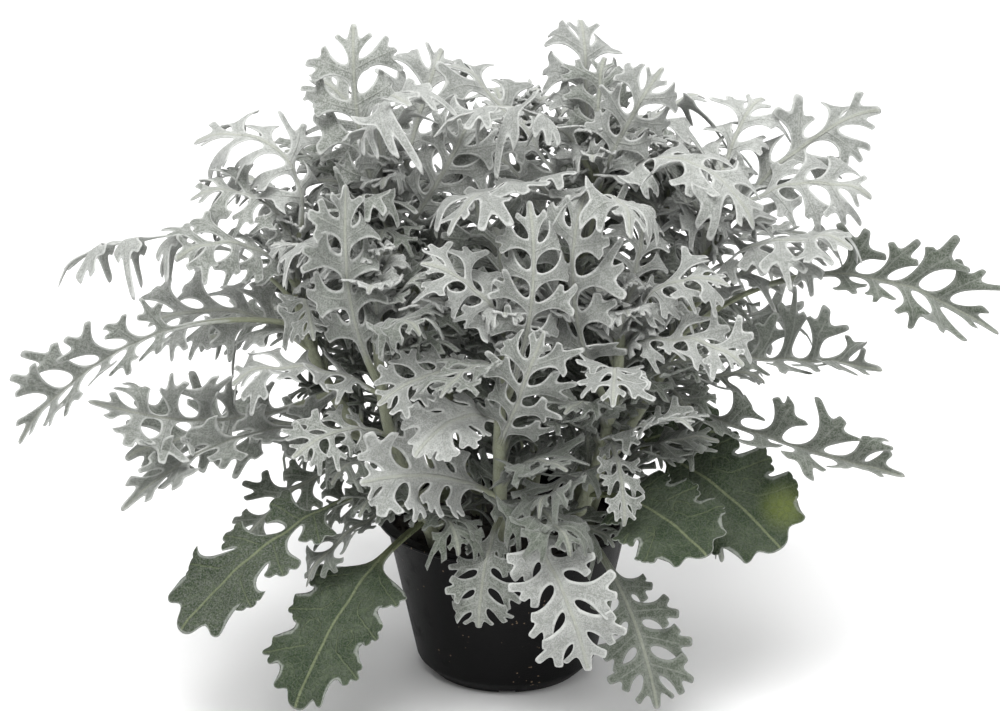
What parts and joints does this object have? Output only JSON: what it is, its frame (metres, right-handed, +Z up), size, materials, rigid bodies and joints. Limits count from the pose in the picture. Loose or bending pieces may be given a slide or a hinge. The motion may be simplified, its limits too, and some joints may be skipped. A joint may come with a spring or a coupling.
{
  "type": "potted dusty miller",
  "caption": "Bushy plant with deeply cut, felted silver leaves and older green ones below, standing in a round black nursery pot.",
  "frame": {"origin": "centre of the pot's underside, on the surface that the pot stands on", "axes": "+Z up, -Y to the front of the plant, +X to the right as seen from the front"},
  "size_m": [0.4034, 0.2628, 0.2812],
  "materials": {
    "pot": "matte black moulded plastic",
    "soil": "damp, crumbly, very dark potting soil",
    "silver_leaf": "silver-grey felt of fine hairs, white at the edges",
    "old_leaf": "dull dark green leaf with a thin white margin"
  },
  "bodies": {
    "root": {"pot": "pot", "soil": "soil", "shoot_left": "silver_leaf", "shoot_front_left": "silver_leaf", "shoot_front": "silver_leaf", "shoot_front_right": "silver_leaf", "shoot_right": "silver_leaf", "shoot_top": "silver_leaf", "shoot_upper_left": "silver_leaf", "shoot_back_left": "silver_leaf", "shoot_back": "silver_leaf", "shoot_back_right": "silver_leaf", "old_leaf_1": "old_leaf", "old_leaf_2": "old_leaf", "old_leaf_3": "old_leaf", "old_leaf_4": "old_leaf", "old_leaf_5": "old_leaf"}
  },
  "joints": []
}
